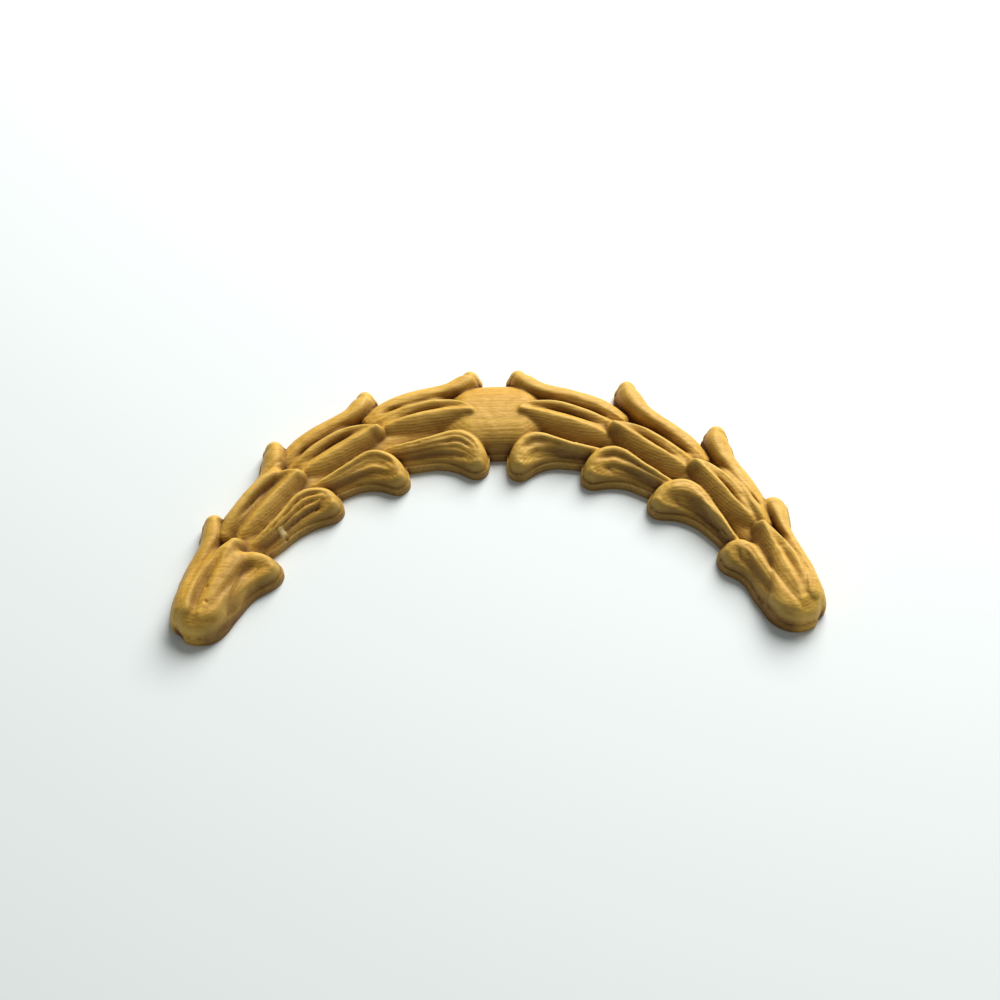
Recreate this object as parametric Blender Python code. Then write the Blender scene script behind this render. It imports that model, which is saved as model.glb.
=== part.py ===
"""Pressed wood ornament: a half wreath of eight overlapping husks either side of a plain crown band.

The ornament is one pressed piece. It lies on its flat back in the XY plane, with its carved face up,
its crown towards +Y and its two ends towards -Y. Its face is a height over that plane, worked out as
the highest of many rounded strokes. Each husk has an outer petal, two ridges in the middle and an inner
leaf that falls from a rim to its lower edge, and all of them grow from a core rod.
"""
import math

import bmesh
import bpy
import numpy as np

MM = 0.001                 # the sizes below are in millimetres, and Blender's are in metres

# Overall form
ARC_RADIUS = 72.0          # middle line of the wreath
ORIGIN = (-0.65, 48.0)     # from the middle of the arc to the origin, under the middle of the box
BACK_WALL = 1.8            # upright edge between the flat back and the carved face
PLATE = 2.4                # thickness of the plate that the carving stands on
LEDGE = 0.3                # how far the plate shows past the carving
WALL_SLOPE = 5.0           # rise over run of the sides above that edge
SOFTNESS = 0.35            # rounding where two strokes meet
WEB = 3.6                  # rounding where the ridges of one husk grow together
OUTER_WEB = 6.0            # and where its outer petal does

# The plain band between the two innermost husks sinks under them, down to the rod they are carved round
BAND = {"offset": -0.7, "half_width": 10.8, "height": 7.6, "squareness": 2.5}
BAND_PLAIN_TO, BAND_SUNK_AT = 5.0, 13.0
CORE = {"offset": -1.4, "half_width": 6.6, "height": 5.6, "squareness": 2.0}
CORE_END = 70.0

# A husk runs from its base, at 0, to its mouth, at 1, and opens towards the crown. A station is
# (place along the husk, offset outwards from the middle line, half width, height).
PETALS = {
    "outer": (
        (-0.05, 3.1, 2.9, 5.6), (0.08, 3.7, 3.2, 6.5), (0.20, 4.4, 3.4, 6.9), (0.35, 5.0, 3.4, 7.2),
        (0.50, 5.5, 3.4, 7.3), (0.65, 5.8, 3.5, 7.4), (0.78, 6.4, 3.6, 7.6), (0.87, 7.3, 3.9, 7.8),
        (0.93, 8.5, 4.0, 7.8), (0.98, 9.9, 3.7, 7.5), (1.00, 10.9, 3.1, 7.2),
    ),
    "upper": (
        (-0.06, 1.0, 4.0, 5.8), (0.08, 1.2, 4.8, 7.0), (0.20, 1.5, 5.1, 7.6), (0.35, 2.0, 5.2, 8.0),
        (0.58, 2.6, 4.8, 8.2), (0.76, 2.3, 4.4, 8.3), (0.88, 1.6, 3.7, 8.4), (0.97, 0.4, 3.2, 8.2),
    ),
    "lower": (
        (-0.04, -2.4, 4.0, 5.9), (0.10, -2.1, 4.8, 7.1), (0.25, -1.8, 5.3, 7.8), (0.40, -1.5, 5.4, 8.2),
        (0.56, -1.1, 5.4, 8.4), (0.72, -0.8, 5.1, 8.5), (0.86, -0.7, 4.5, 8.6), (0.97, -0.8, 3.6, 8.4),
    ),
    "rim": (
        (-0.22, -8.0, 1.4, 3.8), (-0.08, -7.2, 1.6, 5.0), (0.06, -7.7, 1.8, 5.9), (0.18, -8.1, 2.0, 6.4),
        (0.32, -8.2, 2.1, 6.7),
        (0.45, -8.1, 2.2, 6.9), (0.60, -7.6, 2.3, 7.0), (0.72, -7.2, 2.4, 7.1), (0.83, -7.6, 2.5, 7.1),
        (0.92, -9.1, 2.6, 6.9), (0.97, -10.8, 2.7, 6.6), (0.98, -12.6, 2.8, 6.1), (0.96, -14.2, 2.8, 5.6),
    ),
    "edge": (
        (-0.22, -8.0, 1.4, 3.8), (-0.10, -8.8, 1.5, 3.2), (0.05, -9.5, 1.5, 3.1), (0.18, -9.9, 1.6, 3.2),
        (0.35, -10.3, 1.6, 3.3),
        (0.50, -10.7, 1.6, 3.4), (0.65, -11.6, 1.7, 3.6), (0.78, -12.9, 1.9, 4.1), (0.87, -13.9, 2.3, 4.8),
        (0.93, -14.4, 2.6, 5.3), (0.96, -14.2, 2.8, 5.6),
    ),
    "grooves": (
        ((0.06, 2.9, 0.35, 0.1), (0.20, 3.4, 0.35, 1.0), (0.36, 3.9, 0.35, 0.4), (0.72, 5.0, 0.35, 0.4),
         (0.95, 5.6, 0.4, 0.3)),
        ((0.12, -0.4, 0.35, 0.1), (0.30, 0.0, 0.4, 0.8), (0.50, 0.7, 0.4, 1.1), (0.72, 1.0, 0.4, 0.4),
         (0.86, 0.8, 0.35, 0.1)),
    ),
}

# The husk at each end of the wreath closes in a round base, with a notch beside its outer petal
RIGHT_END = {
    "lobe": (
        (0.25, -1.8, 7.3, 7.2), (0.34, -1.6, 6.4, 7.3), (0.44, -1.4, 5.2, 7.2), (0.56, -1.2, 4.2, 6.8),
    ),
    "outer": (
        (0.20, 1.2, 2.6, 6.8), (0.38, 2.8, 2.5, 7.2), (0.55, 3.0, 2.4, 7.3), (0.72, 3.0, 2.5, 7.4),
        (0.84, 3.5, 2.7, 7.5), (0.93, 4.4, 3.2, 7.5), (1.03, 5.4, 3.8, 7.1),
    ),
    "upper": (
        (0.17, -0.4, 3.4, 7.0), (0.26, 0.2, 4.0, 7.6), (0.36, 0.8, 4.0, 8.0), (0.50, 1.2, 3.8, 8.3),
        (0.64, 1.0, 3.6, 8.4), (0.79, 0.3, 3.4, 8.5), (0.92, -0.4, 3.0, 8.3),
    ),
    "lower": (
        (0.16, -2.0, 3.6, 7.0), (0.26, -1.9, 4.6, 7.7), (0.36, -1.9, 5.2, 8.1), (0.50, -1.9, 5.3, 8.4),
        (0.64, -1.7, 5.2, 8.5), (0.78, -1.5, 4.7, 8.7), (0.92, -0.9, 3.6, 8.5),
    ),
    "rim": (
        (0.10, -3.6, 2.0, 6.0), (0.20, -4.8, 2.1, 6.7), (0.32, -5.6, 2.1, 7.0), (0.47, -6.0, 2.0, 6.9),
        (0.63, -6.2, 2.2, 6.8),
        (0.78, -6.2, 2.4, 6.9), (0.87, -7.2, 2.7, 6.8), (0.90, -8.9, 2.8, 6.4), (0.88, -10.4, 2.8, 5.8),
    ),
    "edge": (
        (0.10, -3.6, 2.0, 6.0), (0.18, -6.4, 2.0, 6.4), (0.30, -7.6, 2.0, 5.6), (0.42, -8.2, 2.0, 4.9),
        (0.56, -8.5, 1.9, 4.5),
        (0.66, -9.0, 2.0, 4.5), (0.76, -9.9, 2.4, 5.0), (0.83, -10.6, 2.7, 5.5), (0.88, -10.4, 2.8, 5.8),
    ),
    "grooves": (
        ((0.26, 1.9, 0.4, 0.2), (0.45, 2.3, 0.45, 0.7), (0.70, 2.2, 0.45, 0.5), (0.90, 2.0, 0.4, 0.2)),
        ((0.26, -0.8, 0.4, 0.1), (0.42, -0.5, 0.45, 0.5), (0.60, -0.5, 0.45, 0.5), (0.80, -0.9, 0.4, 0.1)),
        ((-0.06, 2.4, 0.9, 5.0), (0.03, 2.8, 0.8, 3.6), (0.12, 3.2, 0.7, 0.8), (0.20, 3.3, 0.5, 0.1)),
    ),
}
LEFT_END = {
    "lobe": (
        (0.26, -0.3, 7.4, 7.1), (0.36, -0.6, 6.8, 7.2), (0.48, -1.0, 6.2, 7.1), (0.60, -1.4, 5.8, 7.0),
        (0.72, -1.6, 5.2, 6.8),
    ),
    "outer": (
        (0.20, 2.1, 3.2, 6.8), (0.38, 3.3, 3.4, 7.1), (0.55, 3.8, 3.5, 7.2), (0.70, 3.9, 3.4, 7.3),
        (0.84, 4.3, 3.4, 7.4), (0.94, 5.6, 3.6, 7.4), (1.02, 7.3, 3.1, 7.0),
    ),
    "upper": (
        (0.17, 1.4, 3.4, 6.9), (0.26, 1.6, 4.0, 7.3), (0.38, 1.7, 4.3, 7.6), (0.54, 1.5, 4.4, 7.9),
        (0.68, 1.0, 4.3, 8.2), (0.80, 0.4, 4.0, 8.4), (0.90, -0.3, 3.4, 8.1),
    ),
    "lower": (
        (0.16, -1.4, 3.6, 6.9), (0.26, -1.6, 4.6, 7.4), (0.36, -1.8, 5.2, 7.8), (0.50, -1.9, 5.4, 8.1),
        (0.64, -1.7, 5.3, 8.3), (0.79, -1.2, 4.7, 8.5), (0.91, -1.2, 3.6, 8.2),
    ),
    "rim": (
        (0.16, -2.2, 2.4, 6.2), (0.30, -2.8, 2.4, 6.6), (0.46, -3.1, 2.5, 6.8), (0.62, -3.4, 2.6, 6.9),
        (0.76, -4.0, 2.6, 7.0), (0.85, -5.3, 2.5, 7.1), (0.89, -7.4, 2.5, 6.9), (0.90, -9.4, 2.6, 6.4),
        (0.87, -11.0, 2.8, 5.7),
    ),
    "edge": (
        (0.16, -2.2, 2.4, 6.2), (0.22, -4.4, 2.6, 6.6), (0.34, -5.4, 2.8, 6.2), (0.46, -6.5, 2.8, 5.8),
        (0.58, -7.4, 2.8, 5.5),
        (0.69, -8.7, 2.8, 5.2), (0.78, -10.2, 2.8, 5.3), (0.84, -11.0, 2.8, 5.5), (0.87, -11.0, 2.8, 5.7),
    ),
    "grooves": (
        ((0.30, 2.9, 0.7, 0.1), (0.50, 3.1, 0.8, 0.6), (0.75, 2.9, 0.7, 0.6), (0.92, 2.6, 0.5, 0.2)),
        ((0.24, 0.1, 0.7, 0.2), (0.44, 0.0, 0.8, 0.7), (0.60, -0.1, 0.8, 0.6), (0.76, -0.3, 0.6, 0.1)),
        ((-0.06, 3.2, 1.1, 3.2), (0.03, 3.6, 1.1, 2.2), (0.11, 3.9, 0.9, 0.7), (0.18, 4.0, 0.6, 0.1)),
    ),
}

RIDGE_SQUARENESS = 1.4     # a low value gives a narrow crest and straight flanks
PETAL_SQUARENESS = 2.1
LOBE_SQUARENESS = 3.4
RIDGE_LEAN = 0.3           # how much wider a stroke is on its inner side than on the whole
OUTER_LEAN = -0.24
FALL = 2.1                 # how a leaf's face curves over its rim before it falls to its edge
BEAD_FLAT, BEAD_SLOPE, BEAD_DROP = 1.0, 1.1, 0.55     # the raised bead along a leaf's rim
TIP_PLAIN, TIP_FADE = 1.5, 3.5                        # where a leaf's carving starts, from its tip
NARROW = 1.5               # width of leaf up to which it is not carved
HOLLOW_WIDTH = 0.2         # of the hollow under a leaf's rim, against the leaf's width
TIP_PART = 0.3             # part of a leaf's two lines that bends in to meet at each end
REACH_FROM = 0.6           # place from which a petal's reach draws it out towards the crown

UNMOVED = (0.0, 0.0, 0.0)
# Each husk's own hand: shifts outwards of its lines at the base, the middle and the mouth, how far the tips
# of its outer petal and its leaf reach past the others', and for the leaf the number and depth of its flutes,
# the depth of its hollow and the hollow's place across it.
HUSKS = (
    {"name": "a_right", "half": 1, "mouth": 4.8, "base": 23.4, "petals": PETALS,
     "outer": (0.9, 0.4, -0.2), "upper": (-0.3, -0.5, -0.3), "lower": (-0.5, -0.9, -0.2),
     "rim": (0.0, -0.3, -0.2), "edge": (0.1, -0.3, -0.6), "reach": (0.03, 0.0), "leaf": (2, 0.5, 0.5, 0.4)},
    {"name": "b_right", "half": 1, "mouth": 23.7, "base": 41.2, "petals": PETALS,
     "outer": (0.2, 0.1, 1.8), "upper": (-0.5, -1.5, -0.6), "lower": (0.2, -1.0, 0.3),
     "rim": (0.4, 0.7, 1.0), "edge": (0.0, 0.1, 0.9), "reach": (0.03, 0.06), "leaf": (2, 0.6, 0.5, 0.3)},
    {"name": "c_right", "half": 1, "mouth": 41.6, "base": 59.0, "petals": PETALS,
     "outer": (-2.0, -1.1, 0.3), "upper": (-0.4, -1.1, -0.4), "lower": (0.9, -0.2, 0.6),
     "rim": (0.2, 1.8, 1.8), "edge": (1.4, 1.6, 1.5), "reach": (0.05, 0.08), "leaf": (7, 0.15, -0.7, 0.4)},
    {"name": "d_right", "half": 1, "mouth": 59.0, "base": 81.6, "petals": RIGHT_END,
     "outer": (0.0, 0.0, 0.0), "upper": (0.0, 0.0, 0.0), "lower": (0.0, 0.0, 0.0),
     "rim": (0.0, 0.0, 0.0), "edge": (0.0, 0.0, 0.0), "reach": (0.02, 0.0), "leaf": (3, 0.2, -0.1, 0.4)},
    {"name": "a_left", "half": -1, "mouth": 4.2, "base": 23.2, "petals": PETALS,
     "outer": (2.6, 1.7, 0.0), "upper": (2.2, 1.2, -0.4), "lower": (3.0, 1.4, -0.4),
     "rim": (2.4, 1.5, 0.3), "edge": (1.0, 0.3, 0.3), "reach": (0.0, 0.02), "leaf": (4, 0.35, 0.2, 0.3)},
    {"name": "b_left", "half": -1, "mouth": 23.3, "base": 41.2, "petals": PETALS,
     "outer": (3.2, 2.2, 0.7), "upper": (2.2, 1.5, 0.2), "lower": (2.6, 0.9, 1.2),
     "rim": (3.1, 2.8, 1.6), "edge": (2.8, 2.2, 1.2), "reach": (0.02, 0.0), "leaf": (3, 0.4, 0.7, 0.3)},
    {"name": "c_left", "half": -1, "mouth": 41.5, "base": 59.0, "petals": PETALS,
     "outer": (-0.6, -1.8, 0.0), "upper": (2.6, 1.6, 0.3), "lower": (1.8, 0.5, 0.6),
     "rim": (3.4, 2.7, 2.4), "edge": (3.2, 2.3, 3.7), "reach": (0.02, 0.09), "leaf": (3, 0.9, 0.3, 0.25)},
    {"name": "d_left", "half": -1, "mouth": 59.0, "base": 81.0, "petals": LEFT_END,
     "outer": (0.0, 0.0, 0.0), "upper": (0.0, 0.0, 0.0), "lower": (0.0, 0.0, 0.0),
     "rim": (0.0, 0.0, 0.0), "edge": (0.0, 0.0, 0.0), "reach": (0.0, 0.0), "leaf": (1, 0.0, 1.1, 0.6)},
)
HUSK_MARGIN = 7.0          # angle past a husk's ends in which its petals are still worked out

# Mesh
LINE_STEPS = 6             # straight pieces between two stations
INNERMOST, OUTERMOST = -20.0, 18.0
END_ANGLE = 87.0
GRID_STEP = 0.5
TRIANGLES = 8800

WOOD = (0.42, 0.22, 0.055, 1.0)
WOOD_ROUGHNESS = 0.5


def smooth_line(stations):
    """The stations eased into a Catmull-Rom line."""
    rows = np.array(stations, dtype=float)
    ends = np.vstack([2 * rows[0] - rows[1], rows, 2 * rows[-1] - rows[-2]])
    line = []
    for before, start, stop, after in zip(ends, ends[1:], ends[2:], ends[3:]):
        for u in np.arange(LINE_STEPS) / LINE_STEPS:
            line.append(0.5 * (2 * start + (stop - before) * u
                               + (2 * before - 5 * start + 4 * stop - after) * u * u
                               + (3 * start - before - 3 * stop + after) * u ** 3))
    return np.vstack([line, rows[-1]])


def polar(angle, offset):
    """A point of the plane, for an angle from the crown in degrees and an offset from the middle line."""
    turn = np.radians(angle)
    reach = ARC_RADIUS + offset
    return np.stack([reach * np.sin(turn), reach * np.cos(turn)], -1)


def nearest(points, line, sizes):
    """Distance from each point to a line, and the line's sizes at the nearest place."""
    start, run = line[:-1], np.diff(line, axis=0)
    away = points[:, None] - start
    along = np.clip((away * run).sum(-1) / (run * run).sum(-1), 0, 1)
    gap = away - along[..., None] * run
    distance = np.hypot(gap[..., 0], gap[..., 1])
    best = distance.argmin(1)
    row = np.arange(len(points))
    share = along[row, best][:, None]
    return distance[row, best], sizes[best] * (1 - share) + sizes[best + 1] * share


def enclosed(points, outline):
    """Whether each point lies inside a closed outline, by how often a ray from it crosses the outline."""
    x, y = points[:, :1], points[:, 1:]
    start, stop = outline, np.roll(outline, -1, axis=0)
    spans = (start[:, 1] > y) != (stop[:, 1] > y)
    rise = stop[:, 1] - start[:, 1]
    crossing = start[:, 0] + (y - start[:, 1]) * (stop[:, 0] - start[:, 0]) / np.where(rise == 0, 1, rise)
    return (spans & (x < crossing)).sum(1) % 2 == 1


def soft_max(first, second, softness=SOFTNESS):
    blend = np.clip(softness - np.abs(first - second), 0, None) / softness
    return np.maximum(first, second) + blend * blend * softness / 4


def soft_min(first, second):
    return -soft_max(-first, -second)


def dome(distance, half_width, height, squareness=2.0):
    """Rounded section on a thin plate: upright at its foot, then a narrow ledge, then steep and round."""
    body = half_width - LEDGE
    inside = np.clip(1 - (distance / body) ** squareness, 0, 1) ** (1 / squareness)
    round_part = soft_min(height * inside, BACK_WALL + WALL_SLOPE * (body - distance))
    plate = soft_min(0 * distance + PLATE, BACK_WALL + WALL_SLOPE * (half_width - distance))
    return np.maximum(round_part, plate)


def smooth_step(values):
    """0 below 0, 1 above 1 and an easy slope between."""
    held = np.clip(values, 0, 1)
    return held * held * (3 - 2 * held)


def eased(shift, place):
    """A shift given at a husk's base, middle and mouth, at any place along it."""
    at_base, at_middle, at_mouth = shift
    place = np.clip(place, 0, None)
    return (at_base * (1 - place) * (1 - 2 * place) + at_middle * 4 * place * (1 - place)
            + at_mouth * place * (2 * place - 1))


class Husk:
    """One husk's own frame: its stations are laid along the wreath between its base and its mouth."""

    def __init__(self, points, hand):
        self.points, self.hand, self.petals = points, hand, hand["petals"]

    def line(self, stations, shift, reach=0.0, shared=None):
        """The stations' smooth line on the plane, with its half widths and heights."""
        rows = smooth_line(stations)
        place = rows[:, 0]
        moved = eased(shift, place)
        if shared is not None:
            near_end = smooth_step(np.linspace(1 - 1 / TIP_PART, 1, len(rows)))
            moved = moved + (shared[0] - moved) * near_end[::-1] + (shared[1] - moved) * near_end
        place = place + reach * np.clip((place - REACH_FROM) / (1 - REACH_FROM), 0, 1)
        mouth, base = self.hand["mouth"], self.hand["base"]
        return polar(base + (mouth - base) * place, rows[:, 1] + moved) * (self.hand["half"], 1), rows[:, 2:]

    def stroke(self, petal, squareness, lean=0.0):
        reach = self.hand["reach"][0] if petal == "outer" else 0.0
        line, sizes = self.line(self.petals[petal], self.hand.get(petal, UNMOVED), reach)
        distance, sizes = nearest(self.points, line, np.column_stack([sizes, np.hypot(*line.T)]))
        inwards = (sizes[:, 2] - np.hypot(*self.points.T)) / (distance + SOFTNESS)
        return dome(distance, sizes[:, 0] * (1 + lean * inwards), sizes[:, 1], squareness)

    def groove(self, stations):
        distance, sizes = nearest(self.points, *self.line(stations, self.hand["upper"]))
        return sizes[:, 1] * np.exp(-(distance / sizes[:, 0]) ** 2)

    def leaf(self):
        """A leaf that falls from its rim to its lower edge, hollowed and fluted across but for its tip."""
        flutes, flute_depth, hollow, hollow_place = self.hand["leaf"]
        reach = self.hand["reach"][1]
        shared = (eased(self.hand["rim"], self.petals["rim"][0][0]),
                  eased(self.hand["edge"], self.petals["edge"][-1][0]))
        rim, rim_sizes = self.line(self.petals["rim"], self.hand["rim"], reach, shared)
        edge, edge_sizes = self.line(self.petals["edge"], self.hand["edge"], reach, shared)
        from_rim, rim_at = nearest(self.points, rim, rim_sizes)
        from_edge, edge_at = nearest(self.points, edge, edge_sizes)
        side = soft_max(dome(from_rim, rim_at[:, 0], rim_at[:, 1], PETAL_SQUARENESS),
                        dome(from_edge, edge_at[:, 0], edge_at[:, 1], PETAL_SQUARENESS))
        across = from_rim / np.maximum(from_rim + from_edge, LEDGE)
        carved = (smooth_step((np.hypot(*(self.points - rim[-1]).T) - TIP_PLAIN) / TIP_FADE)
                  * smooth_step((from_rim + from_edge) / NARROW - 1))
        flute = flute_depth * (1 - np.abs(np.cos(np.pi * flutes * across)))
        dip = hollow * np.exp(-((across - hollow_place) / HOLLOW_WIDTH) ** 2)
        bead = BEAD_DROP * smooth_step((from_rim - BEAD_FLAT) / BEAD_SLOPE) * (1 - across)
        face = rim_at[:, 1] + (edge_at[:, 1] - rim_at[:, 1]) * across ** FALL - carved * (flute + dip + bead)
        return np.where(enclosed(self.points, np.vstack([rim, edge[::-1]])), face, side)

    def height(self):
        body = soft_max(self.stroke("upper", RIDGE_SQUARENESS, RIDGE_LEAN),
                        self.stroke("lower", RIDGE_SQUARENESS, RIDGE_LEAN), WEB)
        if "lobe" in self.petals:
            body = soft_max(body, self.stroke("lobe", LOBE_SQUARENESS), WEB)
        face = soft_max(body, self.stroke("outer", PETAL_SQUARENESS, OUTER_LEAN), OUTER_WEB)
        for stations in self.petals["grooves"]:
            face = face - self.groove(stations)
        return soft_max(face, self.leaf(), WEB if "lobe" in self.petals else SOFTNESS)


def arc_height(offset, past_end, size):
    """A plain rounded band along the wreath, for the length in millimetres past its end."""
    distance = np.hypot(offset - size["offset"], np.clip(past_end, 0, None))
    return dome(distance, size["half_width"], size["height"], size["squareness"])


def wreath_height(angle, offset):
    """Height of the carved face over the flat back at each place."""
    points = polar(angle, offset)
    turn = np.abs(angle)
    sunk = smooth_step((turn - BAND_PLAIN_TO) / (BAND_SUNK_AT - BAND_PLAIN_TO))
    band = arc_height(offset, 0 * turn, BAND)
    core = arc_height(offset, (turn - CORE_END) * math.radians(ARC_RADIUS), CORE)
    face = soft_max(core, band + (core - SOFTNESS - band) * sunk)
    for hand in HUSKS:
        outwards = hand["half"] * angle
        here = (outwards > hand["mouth"] - HUSK_MARGIN) & (outwards < hand["base"] + HUSK_MARGIN)
        face[here] = soft_max(face[here], Husk(points[here], hand).height())
    return face


def face_mesh(name, step):
    """The carved face as a grid that follows the arc, cut level with the top of the upright edge."""
    angles = np.linspace(-END_ANGLE, END_ANGLE, round(math.radians(2 * END_ANGLE) * ARC_RADIUS / step) + 1)
    offsets = np.linspace(INNERMOST, OUTERMOST, round((OUTERMOST - INNERMOST) / step) + 1)
    angle, offset = (values.ravel() for values in np.meshgrid(angles, offsets, indexing="ij"))
    height = wreath_height(angle, offset)
    corner = np.arange(angle.size).reshape(len(angles), len(offsets))
    quads = np.stack([corner[:-1, :-1], corner[:-1, 1:], corner[1:, 1:], corner[1:, :-1]], -1).reshape(-1, 4)
    quads = quads[(height[quads] > BACK_WALL).any(1)]
    used, quads = np.unique(quads, return_inverse=True)
    places = np.column_stack([polar(angle, offset) - ORIGIN, height])[used] * MM
    mesh = bpy.data.meshes.new(name)
    mesh.from_pydata(places.tolist(), [], quads.reshape(-1, 4).tolist())
    return mesh


def close_below(mesh):
    """Trim the face level, drop an upright edge from its outline and close the flat back."""
    shape = bmesh.new()
    shape.from_mesh(mesh)
    everything = shape.verts[:] + shape.edges[:] + shape.faces[:]
    bmesh.ops.bisect_plane(shape, geom=everything, plane_co=(0, 0, BACK_WALL * MM), plane_no=(0, 0, 1),
                           clear_inner=True)
    outline = [edge for edge in shape.edges if edge.is_boundary]
    dropped = bmesh.ops.extrude_edge_only(shape, edges=outline)["geom"]
    for vert in dropped:
        if isinstance(vert, bmesh.types.BMVert):
            vert.co.z = 0
    rim = [edge for edge in shape.edges if edge.is_boundary]
    bmesh.ops.holes_fill(shape, edges=rim)
    bmesh.ops.recalc_face_normals(shape, faces=shape.faces[:])
    bmesh.ops.triangulate(shape, faces=shape.faces[:])
    shape.to_mesh(mesh)
    shape.free()


def wood_material():
    material = bpy.data.materials.new("golden_wood")
    material.use_nodes = True
    shader = material.node_tree.nodes["Principled BSDF"]
    shader.inputs["Base Color"].default_value = WOOD
    shader.inputs["Roughness"].default_value = WOOD_ROUGHNESS
    shader.inputs["Metallic"].default_value = 0.0
    return material


def make_garland(step):
    mesh = face_mesh("husk_garland", step)
    close_below(mesh)
    mesh.materials.append(wood_material())
    garland = bpy.data.objects.new("husk_garland", mesh)
    bpy.context.scene.collection.objects.link(garland)
    return garland


def main():
    for old in list(bpy.data.objects):
        bpy.data.objects.remove(old, do_unlink=True)
    garland = make_garland(GRID_STEP)
    thin = garland.modifiers.new("fewer_faces", "DECIMATE")
    thin.ratio = TRIANGLES / len(garland.data.polygons)
    garland.data.shade_smooth()


main()
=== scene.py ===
"""A pressed wood ornament: a half wreath of husks on a plain crown band, in golden stained wood.

The carved face is one height field over the flat back, built up from rounded strokes. Each husk has an
outer petal, two ridges in the middle and an inner leaf between a rim and an edge, with flutes across it.
Small unevenness, chips and pits are marks in the same field.
"""
import math

import bmesh
import bpy
import numpy as np
from mathutils import Matrix, Vector


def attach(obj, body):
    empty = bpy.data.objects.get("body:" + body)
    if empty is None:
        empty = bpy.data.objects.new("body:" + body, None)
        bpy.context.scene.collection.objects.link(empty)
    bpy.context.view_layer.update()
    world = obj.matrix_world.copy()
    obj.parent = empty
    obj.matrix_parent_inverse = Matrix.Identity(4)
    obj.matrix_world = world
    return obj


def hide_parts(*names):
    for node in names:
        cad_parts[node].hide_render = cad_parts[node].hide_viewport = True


bl_info = {
    "name": "Husk Garland Ornament",
    "version": (1, 0, 0),
    "blender": (4, 5, 0),
    "location": "3D View > Sidebar > Garland",
    "description": "Carved half wreath of husks in golden stained wood, on a pale stage",
    "category": "Add Mesh",
}

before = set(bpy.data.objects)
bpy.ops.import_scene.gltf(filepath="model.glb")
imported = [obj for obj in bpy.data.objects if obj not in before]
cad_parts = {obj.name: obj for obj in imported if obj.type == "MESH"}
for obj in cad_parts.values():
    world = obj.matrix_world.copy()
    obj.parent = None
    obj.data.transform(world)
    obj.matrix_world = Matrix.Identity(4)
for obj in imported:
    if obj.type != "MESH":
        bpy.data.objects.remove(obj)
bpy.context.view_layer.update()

NODE = "husk_garland"
MM = 0.001

# Overall form. Sizes are in millimetres and angles in degrees, here and below.
ARC_RADIUS = 72.0          # middle line of the wreath
ORIGIN = (-0.65, 48.0)     # from the middle of the arc to the origin, under the middle of the box
BACK_WALL = 1.8            # upright edge between the flat back and the carved face
PLATE = 2.4                # thickness of the plate that the carving stands on
LEDGE = 0.3                # how far the plate shows past the carving
WALL_SLOPE = 5.0           # rise over run of the sides above that edge
SOFTNESS = 0.35            # rounding where two strokes meet
WEB = 3.6                  # rounding where the ridges of one husk grow together
OUTER_WEB = 6.0            # and where its outer petal does

# The plain band between the two innermost husks sinks under them, down to the rod they are carved round
BAND = {"offset": -0.7, "half_width": 10.8, "height": 7.6, "squareness": 2.5}
BAND_PLAIN_TO, BAND_SUNK_AT = 5.0, 13.0
CORE = {"offset": -1.4, "half_width": 6.6, "height": 5.6, "squareness": 2.0}
CORE_END = 70.0

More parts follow.
